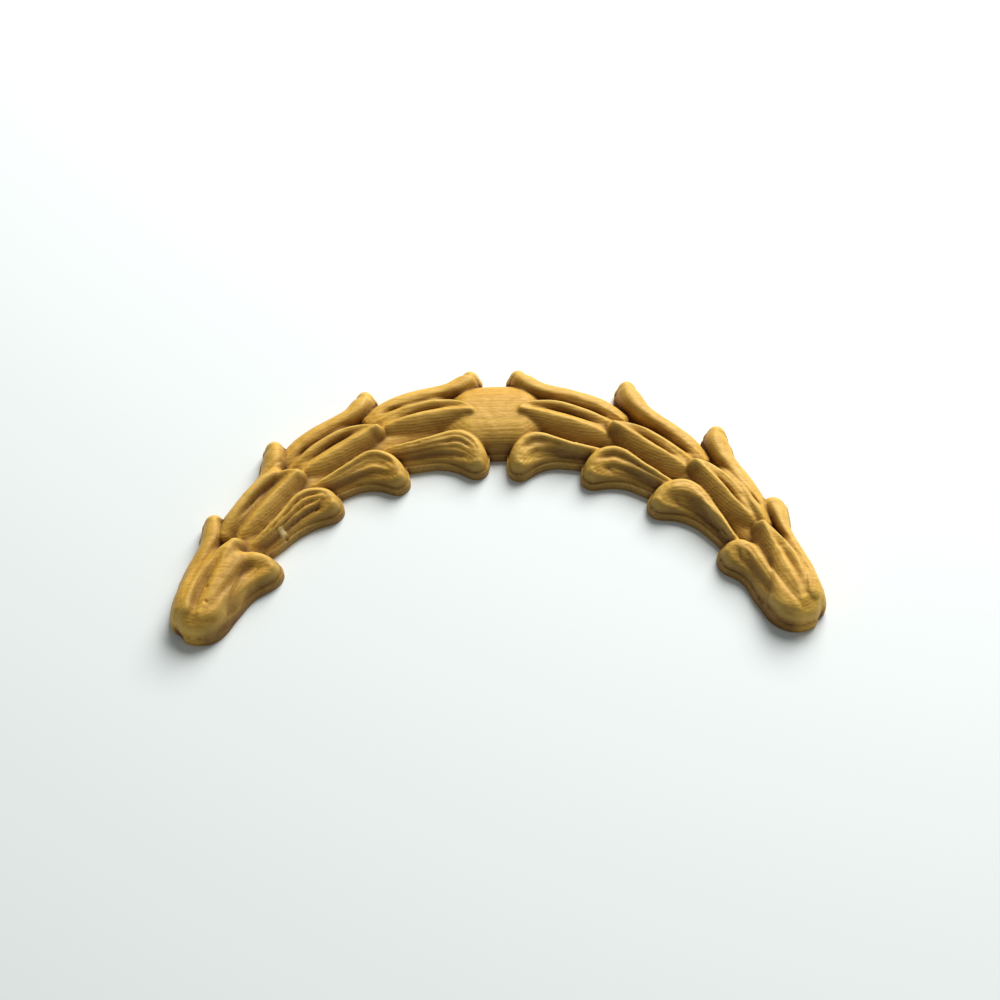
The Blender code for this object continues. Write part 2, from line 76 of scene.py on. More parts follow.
# A husk runs from its base, at 0, to its mouth, at 1, and opens towards the crown. A station is
# (place along the husk, offset outwards from the middle line, half width, height).
PETALS = {
    "outer": (
        (-0.05, 3.1, 2.9, 5.6), (0.08, 3.7, 3.2, 6.5), (0.20, 4.4, 3.4, 6.9), (0.35, 5.0, 3.4, 7.2),
        (0.50, 5.5, 3.4, 7.3), (0.65, 5.8, 3.5, 7.4), (0.78, 6.4, 3.6, 7.6), (0.87, 7.3, 3.9, 7.8),
        (0.93, 8.5, 4.0, 7.8), (0.98, 9.9, 3.7, 7.5), (1.00, 10.9, 3.1, 7.2),
    ),
    "upper": (
        (-0.06, 1.0, 4.0, 5.8), (0.08, 1.2, 4.8, 7.0), (0.20, 1.5, 5.1, 7.6), (0.35, 2.0, 5.2, 8.0),
        (0.58, 2.6, 4.8, 8.2), (0.76, 2.3, 4.4, 8.3), (0.88, 1.6, 3.7, 8.4), (0.97, 0.4, 3.2, 8.2),
    ),
    "lower": (
        (-0.04, -2.4, 4.0, 5.9), (0.10, -2.1, 4.8, 7.1), (0.25, -1.8, 5.3, 7.8), (0.40, -1.5, 5.4, 8.2),
        (0.56, -1.1, 5.4, 8.4), (0.72, -0.8, 5.1, 8.5), (0.86, -0.7, 4.5, 8.6), (0.97, -0.8, 3.6, 8.4),
    ),
    "rim": (
        (-0.22, -8.0, 1.4, 3.8), (-0.08, -7.2, 1.6, 5.0), (0.06, -7.7, 1.8, 5.9), (0.18, -8.1, 2.0, 6.4),
        (0.32, -8.2, 2.1, 6.7), (0.45, -8.1, 2.2, 6.9), (0.60, -7.6, 2.3, 7.0), (0.72, -7.2, 2.4, 7.1),
        (0.83, -7.6, 2.5, 7.1), (0.92, -9.1, 2.6, 6.9), (0.97, -10.8, 2.7, 6.6), (0.98, -12.6, 2.8, 6.1),
        (0.96, -14.2, 2.8, 5.6),
    ),
    "edge": (
        (-0.22, -8.0, 1.4, 3.8), (-0.10, -8.8, 1.5, 3.2), (0.05, -9.5, 1.5, 3.1), (0.18, -9.9, 1.6, 3.2),
        (0.35, -10.3, 1.6, 3.3), (0.50, -10.7, 1.6, 3.4), (0.65, -11.6, 1.7, 3.6), (0.78, -12.9, 1.9, 4.1),
        (0.87, -13.9, 2.3, 4.8), (0.93, -14.4, 2.6, 5.3), (0.96, -14.2, 2.8, 5.6),
    ),
    "grooves": (
        ((0.06, 2.9, 0.35, 0.1), (0.20, 3.4, 0.35, 1.0), (0.36, 3.9, 0.35, 0.4), (0.72, 5.0, 0.35, 0.4),
         (0.95, 5.6, 0.4, 0.3)),
        ((0.12, -0.4, 0.35, 0.1), (0.30, 0.0, 0.4, 0.8), (0.50, 0.7, 0.4, 1.1), (0.72, 1.0, 0.4, 0.4),
         (0.86, 0.8, 0.35, 0.1)),
    ),
}

# The husk at each end of the wreath closes in a round base, with a notch beside its outer petal
RIGHT_END = {
    "lobe": (
        (0.25, -1.8, 7.3, 7.2), (0.34, -1.6, 6.4, 7.3), (0.44, -1.4, 5.2, 7.2), (0.56, -1.2, 4.2, 6.8),
    ),
    "outer": (
        (0.20, 1.2, 2.6, 6.8), (0.38, 2.8, 2.5, 7.2), (0.55, 3.0, 2.4, 7.3), (0.72, 3.0, 2.5, 7.4),
        (0.84, 3.5, 2.7, 7.5), (0.93, 4.4, 3.2, 7.5), (1.03, 5.4, 3.8, 7.1),
    ),
    "upper": (
        (0.17, -0.4, 3.4, 7.0), (0.26, 0.2, 4.0, 7.6), (0.36, 0.8, 4.0, 8.0), (0.50, 1.2, 3.8, 8.3),
        (0.64, 1.0, 3.6, 8.4), (0.79, 0.3, 3.4, 8.5), (0.92, -0.4, 3.0, 8.3),
    ),
    "lower": (
        (0.16, -2.0, 3.6, 7.0), (0.26, -1.9, 4.6, 7.7), (0.36, -1.9, 5.2, 8.1), (0.50, -1.9, 5.3, 8.4),
        (0.64, -1.7, 5.2, 8.5), (0.78, -1.5, 4.7, 8.7), (0.92, -0.9, 3.6, 8.5),
    ),
    "rim": (
        (0.10, -3.6, 2.0, 6.0), (0.20, -4.8, 2.1, 6.7), (0.32, -5.6, 2.1, 7.0), (0.47, -6.0, 2.0, 6.9),
        (0.63, -6.2, 2.2, 6.8), (0.78, -6.2, 2.4, 6.9), (0.87, -7.2, 2.7, 6.8), (0.90, -8.9, 2.8, 6.4),
        (0.88, -10.4, 2.8, 5.8),
    ),
    "edge": (
        (0.10, -3.6, 2.0, 6.0), (0.18, -6.4, 2.0, 6.4), (0.30, -7.6, 2.0, 5.6), (0.42, -8.2, 2.0, 4.9),
        (0.56, -8.5, 1.9, 4.5), (0.66, -9.0, 2.0, 4.5), (0.76, -9.9, 2.4, 5.0), (0.83, -10.6, 2.7, 5.5),
        (0.88, -10.4, 2.8, 5.8),
    ),
    "grooves": (
        ((0.26, 1.9, 0.4, 0.2), (0.45, 2.3, 0.45, 0.7), (0.70, 2.2, 0.45, 0.5), (0.90, 2.0, 0.4, 0.2)),
        ((0.26, -0.8, 0.4, 0.1), (0.42, -0.5, 0.45, 0.5), (0.60, -0.5, 0.45, 0.5), (0.80, -0.9, 0.4, 0.1)),
        ((-0.06, 2.4, 0.9, 5.0), (0.03, 2.8, 0.8, 3.6), (0.12, 3.2, 0.7, 0.8), (0.20, 3.3, 0.5, 0.1)),
    ),
}
LEFT_END = {
    "lobe": (
        (0.26, -0.3, 7.4, 7.1), (0.36, -0.6, 6.8, 7.2), (0.48, -1.0, 6.2, 7.1), (0.60, -1.4, 5.8, 7.0),
        (0.72, -1.6, 5.2, 6.8),
    ),
    "outer": (
        (0.20, 2.1, 3.2, 6.8), (0.38, 3.3, 3.4, 7.1), (0.55, 3.8, 3.5, 7.2), (0.70, 3.9, 3.4, 7.3),
        (0.84, 4.3, 3.4, 7.4), (0.94, 5.6, 3.6, 7.4), (1.02, 7.3, 3.1, 7.0),
    ),
    "upper": (
        (0.17, 1.4, 3.4, 6.9), (0.26, 1.6, 4.0, 7.3), (0.38, 1.7, 4.3, 7.6), (0.54, 1.5, 4.4, 7.9),
        (0.68, 1.0, 4.3, 8.2), (0.80, 0.4, 4.0, 8.4), (0.90, -0.3, 3.4, 8.1),
    ),
    "lower": (
        (0.16, -1.4, 3.6, 6.9), (0.26, -1.6, 4.6, 7.4), (0.36, -1.8, 5.2, 7.8), (0.50, -1.9, 5.4, 8.1),
        (0.64, -1.7, 5.3, 8.3), (0.79, -1.2, 4.7, 8.5), (0.91, -1.2, 3.6, 8.2),
    ),
    "rim": (
        (0.16, -2.2, 2.4, 6.2), (0.30, -2.8, 2.4, 6.6), (0.46, -3.1, 2.5, 6.8), (0.62, -3.4, 2.6, 6.9),
        (0.76, -4.0, 2.6, 7.0), (0.85, -5.3, 2.5, 7.1), (0.89, -7.4, 2.5, 6.9), (0.90, -9.4, 2.6, 6.4),
        (0.87, -11.0, 2.8, 5.7),
    ),
    "edge": (
        (0.16, -2.2, 2.4, 6.2), (0.22, -4.4, 2.6, 6.6), (0.34, -5.4, 2.8, 6.2), (0.46, -6.5, 2.8, 5.8),
        (0.58, -7.4, 2.8, 5.5), (0.69, -8.7, 2.8, 5.2), (0.78, -10.2, 2.8, 5.3), (0.84, -11.0, 2.8, 5.5),
        (0.87, -11.0, 2.8, 5.7),
    ),
    "grooves": (
        ((0.30, 2.9, 0.7, 0.1), (0.50, 3.1, 0.8, 0.6), (0.75, 2.9, 0.7, 0.6), (0.92, 2.6, 0.5, 0.2)),
        ((0.24, 0.1, 0.7, 0.2), (0.44, 0.0, 0.8, 0.7), (0.60, -0.1, 0.8, 0.6), (0.76, -0.3, 0.6, 0.1)),
        ((-0.06, 3.2, 1.1, 3.2), (0.03, 3.6, 1.1, 2.2), (0.11, 3.9, 0.9, 0.7), (0.18, 4.0, 0.6, 0.1)),
    ),
}

RIDGE_SQUARENESS = 1.4     # a low value gives a narrow crest and straight flanks
PETAL_SQUARENESS = 2.1
LOBE_SQUARENESS = 3.4
RIDGE_LEAN = 0.3           # how much wider a stroke is on its inner side than on the whole
OUTER_LEAN = -0.24
FALL = 2.1                 # how a leaf's face curves over its rim before it falls to its edge
BEAD_FLAT, BEAD_SLOPE, BEAD_DROP = 1.0, 1.1, 0.55     # the raised bead along a leaf's rim
TIP_PLAIN, TIP_FADE = 1.5, 3.5                        # where a leaf's carving starts, from its tip
NARROW = 1.5               # width of leaf up to which it is not carved
NARROWEST = 0.3            # least width that places across a leaf are shared over
HOLLOW_WIDTH = 0.2         # of the hollow under a leaf's rim, against the leaf's width
TIP_PART = 0.3             # part of a leaf's two lines that bends in to meet at each end
REACH_FROM = 0.6           # place from which a petal's reach draws it out towards the crown

# Each husk's own hand: its half of the wreath, the angles from the crown to its mouth and its base, shifts
# outwards of its lines at the base, the middle and the mouth, where it has any, how far the tips of its outer
# petal and its leaf reach past the others', and for the leaf the number and depth of its flutes, the depth of
# its hollow and the hollow's place across it.
HUSKS = {
    "a_right": {
        "half": 1, "mouth": 4.8, "base": 23.4, "petals": PETALS,
        "outer": (0.9, 0.4, -0.2), "upper": (-0.3, -0.5, -0.3), "lower": (-0.5, -0.9, -0.2),
        "rim": (0.0, -0.3, -0.2), "edge": (0.1, -0.3, -0.6),
        "reach": (0.03, 0.0), "leaf": (2, 0.5, 0.5, 0.4),
    },
    "b_right": {
        "half": 1, "mouth": 23.7, "base": 41.2, "petals": PETALS,
        "outer": (0.2, 0.1, 1.8), "upper": (-0.5, -1.5, -0.6), "lower": (0.2, -1.0, 0.3),
        "rim": (0.4, 0.7, 1.0), "edge": (0.0, 0.1, 0.9),
        "reach": (0.03, 0.06), "leaf": (2, 0.6, 0.5, 0.3),
    },
    "c_right": {
        "half": 1, "mouth": 41.6, "base": 59.0, "petals": PETALS,
        "outer": (-2.0, -1.1, 0.3), "upper": (-0.4, -1.1, -0.4), "lower": (0.9, -0.2, 0.6),
        "rim": (0.2, 1.8, 1.8), "edge": (1.4, 1.6, 1.5),
        "reach": (0.05, 0.08), "leaf": (7, 0.15, -0.7, 0.4),
    },
    "d_right": {
        "half": 1, "mouth": 59.0, "base": 81.6, "petals": RIGHT_END,
        "reach": (0.02, 0.0), "leaf": (3, 0.2, -0.1, 0.4),
    },
    "a_left": {
        "half": -1, "mouth": 4.2, "base": 23.2, "petals": PETALS,
        "outer": (2.6, 1.7, 0.0), "upper": (2.2, 1.2, -0.4), "lower": (3.0, 1.4, -0.4),
        "rim": (2.4, 1.5, 0.3), "edge": (1.0, 0.3, 0.3),
        "reach": (0.0, 0.02), "leaf": (4, 0.35, 0.2, 0.3),
    },
    "b_left": {
        "half": -1, "mouth": 23.3, "base": 41.2, "petals": PETALS,
        "outer": (3.2, 2.2, 0.7), "upper": (2.2, 1.5, 0.2), "lower": (2.6, 0.9, 1.2),
        "rim": (3.1, 2.8, 1.6), "edge": (2.8, 2.2, 1.2),
        "reach": (0.02, 0.0), "leaf": (3, 0.4, 0.7, 0.3),
    },
    "c_left": {
        "half": -1, "mouth": 41.5, "base": 59.0, "petals": PETALS,
        "outer": (-0.6, -1.8, 0.0), "upper": (2.6, 1.6, 0.3), "lower": (1.8, 0.5, 0.6),
        "rim": (3.4, 2.7, 2.4), "edge": (3.2, 2.3, 3.7),
        "reach": (0.02, 0.09), "leaf": (3, 0.9, 0.3, 0.25),
    },
    "d_left": {
        "half": -1, "mouth": 59.0, "base": 81.0, "petals": LEFT_END,
        "reach": (0.0, 0.0), "leaf": (1, 0.0, 1.1, 0.6),
    },
}
HUSK_MARGIN = 7.0          # angle past a husk's ends in which its petals are still worked out
UNMOVED = (0.0, 0.0, 0.0)  # shift of a line that a husk's hand doesn't move

# Chips and pits: (angle from the crown, offset, radius, how far it stands up, how pale it is)
SCARS = (
    (-53.1, -7.7, 0.8, 0.5, 0.8), (-53.4, -8.7, 0.45, -0.5, 0.0),
    (-72.0, -1.1, 0.45, -0.5, 0.0), (-75.1, -2.3, 0.4, -0.45, 0.0),
    (17.9, -7.3, 0.4, 0.3, 1.0), (19.0, -7.0, 0.35, 0.25, 1.0),
)
SCAR_SQUARENESS = 4        # a high value gives them steep sides
# Small unevenness all over the carving: (size, depth)
UNEVENNESS = ((0.5, 0.035), (1.3, 0.05))

# The mesh's grid follows the arc, as far as these angles and offsets
END_ANGLE = 87.0
INNERMOST, OUTERMOST = -20.0, 18.0
LINE_STEPS = 6             # straight pieces between two stations
HOLLOW_REACH = 0.7         # how far round a place its depth is compared
SHARP_ANGLE = 65.0         # angle between two faces from which their edge stays sharp
SEED = 7

# The wood's patterns: cells in a metre along X, Y and Z
DRIFT_CELLS = (14.0, 60.0, 60.0)
CLOUD_CELLS = (40.0, 90.0, 90.0)
STREAK_CELLS = (60.0, 1500.0, 900.0)
FLECK_CELLS = (700.0, 2600.0, 1800.0)
BLOTCH_CELLS = (500.0, 900.0, 900.0)
RING_TILT = 0.05           # rise of the growth rings over their run
RING_DRIFT = 9.0           # how far the drift shifts them, in radians of a ring

# The values between which a pattern's colour comes in, and how strong it gets
CLOUD_RANGE = (0.3, 0.7)
STREAK_RANGE, STREAK_DEPTH = (0.45, 0.7), 0.45
RING_DEPTH = 0.16
DARK_FLECKS, PALE_FLECKS = (0.5, 0.72), (0.52, 0.75)
# Painted shade in the grooves: the depth below the places round them over which it comes in, then its least
# share and how much the blotch noise adds to it
HOLLOW_RANGE = (0.02, 0.75)                     # depth below the places round it
GROOVE_SHADE_LEAST, GROOVE_SHADE_SPREAD = 0.75, 0.5
# Painted shade on the sides that slope down towards the inside of the arc, which face away from the key light
FLANK_SHADE_RANGE = (0.05, 1.15)                      # slope down towards the inside of the arc
# Crests made paler by their height above the places round them: partly rubbed wear, partly a painted
# highlight
WORN_HIGHLIGHT_RANGE, WORN_HIGHLIGHT_DEPTH = (0.08, 0.8), 0.45      # height above the places round it

# The wood's fine relief and its gloss
STREAK_BUMP, RING_BUMP, BLOTCH_BUMP, FLECK_BUMP = 0.5, 0.2, 0.2, 0.4
BUMP_STRENGTH, BUMP_HEIGHT = 0.5, 0.3           # the height is in millimetres
ROUGHNESS, STREAK_ROUGHNESS, GROOVE_ROUGHNESS = 0.42, 0.2, 0.2
SPECULAR = 0.3

FLOOR_ROUGHNESS = 0.8
FLOOR_DROP = 0.02          # the floor lies this far under the flat back


def smooth_line(stations):
    """The stations eased into a Catmull-Rom line."""
    rows = np.array(stations, dtype=float)
    ends = np.vstack([2 * rows[0] - rows[1], rows, 2 * rows[-1] - rows[-2]])
    line = []
    for before, start, stop, after in zip(ends, ends[1:], ends[2:], ends[3:]):
        for u in np.arange(LINE_STEPS) / LINE_STEPS:
            line.append(0.5 * (2 * start + (stop - before) * u
                               + (2 * before - 5 * start + 4 * stop - after) * u * u
                               + (3 * start - before - 3 * stop + after) * u ** 3))
    return np.vstack([line, rows[-1]])


def polar(angle, offset):
    """A point of the plane, for an angle from the crown in degrees and an offset from the middle line."""
    turn = np.radians(angle)
    reach = ARC_RADIUS + offset
    return np.stack([reach * np.sin(turn), reach * np.cos(turn)], -1)


def nearest(points, line, sizes):
    """Distance from each point to a line, and the line's sizes at the nearest place."""
    start, run = line[:-1], np.diff(line, axis=0)
    away = points[:, None] - start
    along = np.clip((away * run).sum(-1) / (run * run).sum(-1), 0, 1)
    gap = away - along[..., None] * run
    distance = np.hypot(gap[..., 0], gap[..., 1])
    best = distance.argmin(1)
    row = np.arange(len(points))
    share = along[row, best][:, None]
    return distance[row, best], sizes[best] * (1 - share) + sizes[best + 1] * share


def enclosed(points, outline):
    """Whether each point lies inside a closed outline, by how often a ray from it crosses the outline."""
    x, y = points[:, :1], points[:, 1:]
    start, stop = outline, np.roll(outline, -1, axis=0)
    spans = (start[:, 1] > y) != (stop[:, 1] > y)
    rise = stop[:, 1] - start[:, 1]
    crossing = start[:, 0] + (y - start[:, 1]) * (stop[:, 0] - start[:, 0]) / np.where(rise == 0, 1, rise)
    return (spans & (x < crossing)).sum(1) % 2 == 1


def soft_max(first, second, softness=SOFTNESS):
    """The higher of two heights, with the line where they meet filled in round."""
    blend = np.clip(softness - np.abs(first - second), 0, None) / softness
    return np.maximum(first, second) + blend * blend * softness / 4


def soft_min(first, second):
    """The lower of two heights, with the line where they meet rounded off."""
    return -soft_max(-first, -second)


def dome(distance, half_width, height, squareness):
    """Rounded section on a thin plate: upright at its foot, then a narrow ledge, then steep and round."""
    body = half_width - LEDGE
    inside = np.clip(1 - (distance / body) ** squareness, 0, 1) ** (1 / squareness)
    round_part = soft_min(height * inside, BACK_WALL + WALL_SLOPE * (body - distance))
    plate = soft_min(PLATE, BACK_WALL + WALL_SLOPE * (half_width - distance))
    return np.maximum(round_part, plate)


def smooth_step(values):
    """0 below 0, 1 above 1 and an easy slope between."""
    held = np.clip(values, 0, 1)
    return held * held * (3 - 2 * held)


def eased(shift, place):
    """A shift given at a husk's base, middle and mouth, at any place along it."""
    at_base, at_middle, at_mouth = shift
    place = np.clip(place, 0, None)
    return (at_base * (1 - place) * (1 - 2 * place) + at_middle * 4 * place * (1 - place)
            + at_mouth * place * (2 * place - 1))


class Husk:
    """One husk's own frame: its stations are laid along the wreath between its base and its mouth."""

    def __init__(self, points, hand):
        self.points, self.hand, self.petals = points, hand, hand["petals"]

    def shift(self, name):
        return self.hand.get(name, UNMOVED)

    def line(self, stations, shift, reach=0.0, shared=None):
        """The stations' smooth line on the plane, with its half widths and heights.

        A leaf's two lines have shared shifts, which both take on at their first and last stations.
        """
        rows = smooth_line(stations)
        place = rows[:, 0]
        moved = eased(shift, place)
        if shared is not None:
            near_end = smooth_step(np.linspace(1 - 1 / TIP_PART, 1, len(rows)))
            moved = moved + (shared[0] - moved) * near_end[::-1] + (shared[1] - moved) * near_end
        place = place + reach * np.clip((place - REACH_FROM) / (1 - REACH_FROM), 0, 1)
        mouth, base = self.hand["mouth"], self.hand["base"]
        return polar(base + (mouth - base) * place, rows[:, 1] + moved) * (self.hand["half"], 1), rows[:, 2:]

    def stroke(self, petal, squareness, lean=0.0):
        """A rounded stroke along a petal's line, wider on one side than on the other by its lean."""
        reach = self.hand["reach"][0] if petal == "outer" else 0.0
        line, sizes = self.line(self.petals[petal], self.shift(petal), reach)
        distance, sizes = nearest(self.points, line, np.column_stack([sizes, np.hypot(*line.T)]))
        inwards = (sizes[:, 2] - np.hypot(*self.points.T)) / (distance + SOFTNESS)
        return dome(distance, sizes[:, 0] * (1 + lean * inwards), sizes[:, 1], squareness)

    def groove(self, stations):
        distance, sizes = nearest(self.points, *self.line(stations, self.shift("upper")))
        return sizes[:, 1] * np.exp(-(distance / sizes[:, 0]) ** 2)

    def leaf(self):
        """A leaf that falls from its rim to its lower edge, hollowed and fluted across but for its tip."""
        flutes, flute_depth, hollow, hollow_place = self.hand["leaf"]
        reach = self.hand["reach"][1]
        shared = (eased(self.shift("rim"), self.petals["rim"][0][0]),
                  eased(self.shift("edge"), self.petals["edge"][-1][0]))
        rim, rim_sizes = self.line(self.petals["rim"], self.shift("rim"), reach, shared)
        edge, edge_sizes = self.line(self.petals["edge"], self.shift("edge"), reach, shared)
        from_rim, rim_at = nearest(self.points, rim, rim_sizes)
        from_edge, edge_at = nearest(self.points, edge, edge_sizes)
        side = soft_max(dome(from_rim, rim_at[:, 0], rim_at[:, 1], PETAL_SQUARENESS),
                        dome(from_edge, edge_at[:, 0], edge_at[:, 1], PETAL_SQUARENESS))
        width = from_rim + from_edge
        across = from_rim / np.maximum(width, NARROWEST)
        carved = (smooth_step((np.hypot(*(self.points - rim[-1]).T) - TIP_PLAIN) / TIP_FADE)
                  * smooth_step(width / NARROW - 1))
        flute = flute_depth * (1 - np.abs(np.cos(np.pi * flutes * across)))
        dip = hollow * np.exp(-((across - hollow_place) / HOLLOW_WIDTH) ** 2)
        bead = BEAD_DROP * smooth_step((from_rim - BEAD_FLAT) / BEAD_SLOPE) * (1 - across)
        face = rim_at[:, 1] + (edge_at[:, 1] - rim_at[:, 1]) * across ** FALL - carved * (flute + dip + bead)
        return np.where(enclosed(self.points, np.vstack([rim, edge[::-1]])), face, side)

    def height(self):
        """Height of the whole husk over the flat back."""
        body = soft_max(self.stroke("upper", RIDGE_SQUARENESS, RIDGE_LEAN),
                        self.stroke("lower", RIDGE_SQUARENESS, RIDGE_LEAN), WEB)
        if "lobe" in self.petals:
            body = soft_max(body, self.stroke("lobe", LOBE_SQUARENESS), WEB)
        face = soft_max(body, self.stroke("outer", PETAL_SQUARENESS, OUTER_LEAN), OUTER_WEB)
        for stations in self.petals["grooves"]:
            face = face - self.groove(stations)
        return soft_max(face, self.leaf(), WEB if "lobe" in self.petals else SOFTNESS)


def arc_height(offset, past_end, size):
    """A plain rounded band along the wreath, for the length in millimetres past its end."""
    distance = np.hypot(offset - size["offset"], np.clip(past_end, 0, None))
    return dome(distance, size["half_width"], size["height"], size["squareness"])


def wreath_height(angle, offset):
    """Height of the carved face over the flat back at each place."""
    points = polar(angle, offset)
    turn = np.abs(angle)
    sunk = smooth_step((turn - BAND_PLAIN_TO) / (BAND_SUNK_AT - BAND_PLAIN_TO))
    band = arc_height(offset, 0.0, BAND)
    core = arc_height(offset, (turn - CORE_END) * math.radians(ARC_RADIUS), CORE)
    face = soft_max(core, band + (core - SOFTNESS - band) * sunk)
    for hand in HUSKS.values():
        outwards = hand["half"] * angle
        here = (outwards > hand["mouth"] - HUSK_MARGIN) & (outwards < hand["base"] + HUSK_MARGIN)
        face[here] = soft_max(face[here], Husk(points[here], hand).height())
    return face


def blurred(grid, cells):
    """The grid's values averaged over a few cells each way, three times, which is close to a bell curve."""
    for _ in range(3):
        for axis in (0, 1):
            edge = np.repeat(np.take(grid, [0], axis), cells + 1, axis)
            last = np.repeat(np.take(grid, [-1], axis), cells, axis)
            total = np.cumsum(np.concatenate([edge, grid, last], axis), axis)
            width = 2 * cells + 1
            grid = (np.take(total, range(width, total.shape[axis]), axis)
                    - np.take(total, range(total.shape[axis] - width), axis)) / width
    return grid


def scars(points):
    """How far chips and pits stand up at each point, and how pale they are there."""
    rise, pale = np.zeros(len(points)), np.zeros(len(points))
    for angle, offset, radius, most, paleness in SCARS:
        share = np.exp(-(np.hypot(*(points - polar(angle, offset)).T) / radius) ** SCAR_SQUARENESS)
        rise = rise + most * share
        pale = np.maximum(pale, paleness * share)
    return rise, pale


def carved_face(name, step):
    """The carved face as a grid that follows the arc, with how hollow, steep and pale each place is."""
    angles = np.linspace(-END_ANGLE, END_ANGLE, round(math.radians(2 * END_ANGLE) * ARC_RADIUS / step) + 1)
    offsets = np.linspace(INNERMOST, OUTERMOST, round((OUTERMOST - INNERMOST) / step) + 1)
    angle, offset = (values.ravel() for values in np.meshgrid(angles, offsets, indexing="ij"))
    points, height = polar(angle, offset), wreath_height(angle, offset)
    grid = np.maximum(height, 0).reshape(len(angles), len(offsets))
    hollow = blurred(grid, round(HOLLOW_REACH / step)) - grid
    inner_side = np.clip(np.gradient(blurred(grid, 1), offsets, axis=1), 0, None)
    chance = np.random.default_rng(SEED)
    for size, depth in UNEVENNESS:
        marks = blurred(chance.standard_normal(grid.shape), round(size / step))
        height = height + (depth * marks / marks.std() * (grid > PLATE)).ravel()
    rise, pale = scars(points)
    height = height + rise

    corner = np.arange(angle.size).reshape(grid.shape)
    quads = np.stack([corner[:-1, :-1], corner[:-1, 1:], corner[1:, 1:], corner[1:, :-1]], -1).reshape(-1, 4)
    quads = quads[(height[quads] > BACK_WALL).any(1)]
    used, quads = np.unique(quads, return_inverse=True)
    places = np.column_stack([points - ORIGIN, height])[used] * MM
    mesh = bpy.data.meshes.new(name)
    mesh.from_pydata(places.tolist(), [], quads.reshape(-1, 4).tolist())
    for label, values in (("hollow", hollow), ("inner_side", inner_side), ("pale", pale)):
        mesh.attributes.new(label, "FLOAT", "POINT").data.foreach_set("value", values.ravel()[used])
    return mesh


def close_below(mesh):
    """Trim the face level, drop an upright edge from its outline and close the flat back."""
    shape = bmesh.new()
    shape.from_mesh(mesh)
    everything = shape.verts[:] + shape.edges[:] + shape.faces[:]
    bmesh.ops.bisect_plane(shape, geom=everything, plane_co=(0, 0, BACK_WALL * MM), plane_no=(0, 0, 1),
                           clear_inner=True)
    outline = [edge for edge in shape.edges if edge.is_boundary]
    dropped = bmesh.ops.extrude_edge_only(shape, edges=outline)["geom"]
    for vert in dropped:
        if isinstance(vert, bmesh.types.BMVert):
            vert.co.z = 0
    rim = [edge for edge in shape.edges if edge.is_boundary]
    bmesh.ops.holes_fill(shape, edges=rim)
    bmesh.ops.recalc_face_normals(shape, faces=shape.faces[:])
    shape.to_mesh(mesh)
    shape.free()


class Value:
    """A shader socket that can be added to, subtracted from or multiplied, with a Math node each time."""

    def __init__(self, nodes, socket):
        self.nodes, self.socket = nodes, socket

    def math(self, operation, *values):
        return self.nodes.add("Math", {"operation": operation}, dict(enumerate(values)))

    def __add__(self, other):
        return self.math("ADD", self, other)

    def __sub__(self, other):
        return self.math("SUBTRACT", self, other)

    def __mul__(self, other):
        return self.math("MULTIPLY", self, other)

    def __rsub__(self, other):
        return self.math("SUBTRACT", other, self)

    def __neg__(self):
        return 0.0 - self

    __radd__ = __add__
    __rmul__ = __mul__

    def sine(self):
        return self.math("SINE", self)

    def between(self, low, high):
        """0 at low and 1 at high, held outside them."""
        limits = {"Value": self, "From Min": low, "From Max": high}
        return self.nodes.add("MapRange", {"clamp": True}, limits)


class Finish:
    """The nodes of one material."""

    def __init__(self, name):
        self.material = bpy.data.materials.new(name)
        self.material.use_nodes = True
        self.tree = self.material.node_tree
        self.shader = self.tree.nodes["Principled BSDF"]

    def add(self, kind, settings=None, values=None, out=0):
        """A node of a type, with its settings made first, then the values or links of its sockets."""
        node = self.tree.nodes.new("ShaderNode" + kind)
        for name, setting in (settings or {}).items():
            setattr(node, name, setting)
        self.feed(node, values or {})
        return Value(self, node.outputs[out])

    def feed(self, node, values):
        for name, value in values.items():
            if isinstance(value, Value):
                self.tree.links.new(value.socket, node.inputs[name])
            else:
                node.inputs[name].default_value = value

    def mix(self, factor, first, second):
        """Two colours mixed, with the factor as the second one's share."""
        settings = {"data_type": "RGBA", "clamp_factor": True}
        return self.add("Mix", settings, {0: factor, 6: first, 7: second}, out=2)

    def noise(self, vector, cells, detail, roughness=0.5):
        """Noise with so many cells in a metre along each axis."""
        stretched = self.add("Mapping", {}, {"Vector": vector, "Scale": cells})
        return self.add("TexNoise", {}, {"Vector": stretched, "Scale": 1.0, "Detail": detail,
                                         "Roughness": roughness})

    def axis(self, vector, name):
        return self.add("SeparateXYZ", {}, {"Vector": vector}, out=name)

    def attribute(self, name):
        """A number that the mesh carries at its points."""
        return self.add("Attribute", {"attribute_name": name}, out="Fac")


def linear(red, green, blue):
    """A colour given in 0 to 255 display values, as the renderer's own linear values."""
    parts = [value / 255 for value in (red, green, blue)]
    return tuple(p / 12.92 if p <= 0.04045 else ((p + 0.055) / 1.055) ** 2.4 for p in parts) + (1.0,)


